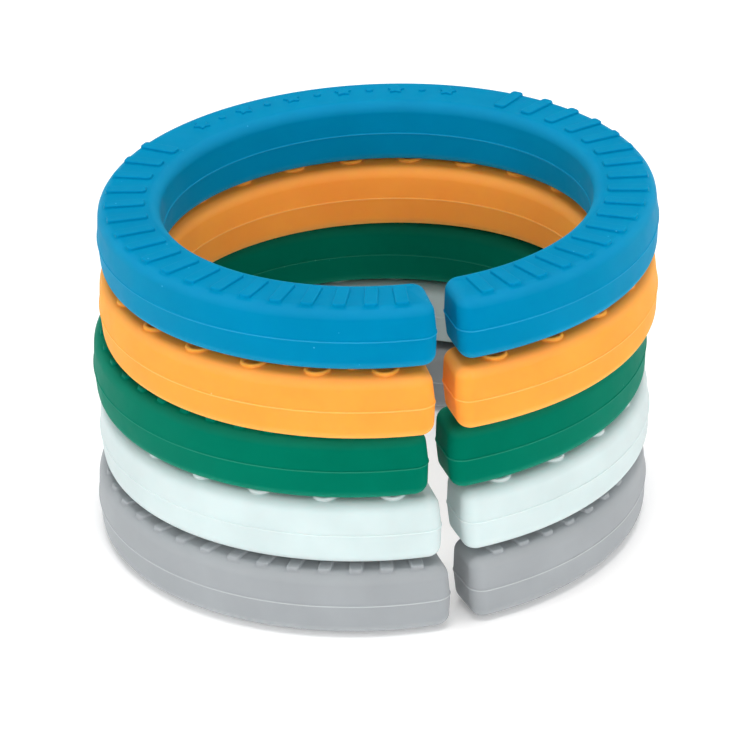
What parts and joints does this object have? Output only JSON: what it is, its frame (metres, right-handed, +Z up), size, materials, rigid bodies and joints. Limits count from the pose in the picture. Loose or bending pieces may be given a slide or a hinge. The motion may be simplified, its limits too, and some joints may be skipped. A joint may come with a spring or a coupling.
{
  "type": "stacking ring toy",
  "caption": "Stack of equally large C-shaped soft silicone rings with a narrow gap, some ribbed on top and some with open bumps, each lifting off the one below.",
  "frame": {"origin": "centre of the stack's footprint, on the surface that the lowest ring rests on", "axes": "+Z up through the stack, -Y towards the side with the rings' gaps, +X to the right seen from there"},
  "size_m": [0.0928, 0.0936, 0.0583],
  "materials": {
    "grey_silicone": "matte moulded silicone",
    "mint_silicone": "matte moulded silicone",
    "green_silicone": "matte moulded silicone",
    "orange_silicone": "matte moulded silicone",
    "blue_silicone": "matte moulded silicone"
  },
  "bodies": {
    "grey_ring": {"grey_ring": "grey_silicone"},
    "mint_ring": {"mint_ring": "mint_silicone"},
    "green_ring": {"green_ring": "green_silicone"},
    "orange_ring": {"orange_ring": "orange_silicone"},
    "blue_ring": {"blue_ring": "blue_silicone"}
  },
  "joints": [
    {"name": "mint_ring_lift", "type": "slide", "parent": "grey_ring", "child": "mint_ring", "axis": [0, 0, 1], "range_m": [0, 0.06]},
    {"name": "green_ring_lift", "type": "slide", "parent": "mint_ring", "child": "green_ring", "axis": [0, 0, 1], "range_m": [0, 0.06]},
    {"name": "orange_ring_lift", "type": "slide", "parent": "green_ring", "child": "orange_ring", "axis": [0, 0, 1], "range_m": [0, 0.06]},
    {"name": "blue_ring_lift", "type": "slide", "parent": "orange_ring", "child": "blue_ring", "axis": [0, 0, 1], "range_m": [0, 0.06]}
  ]
}
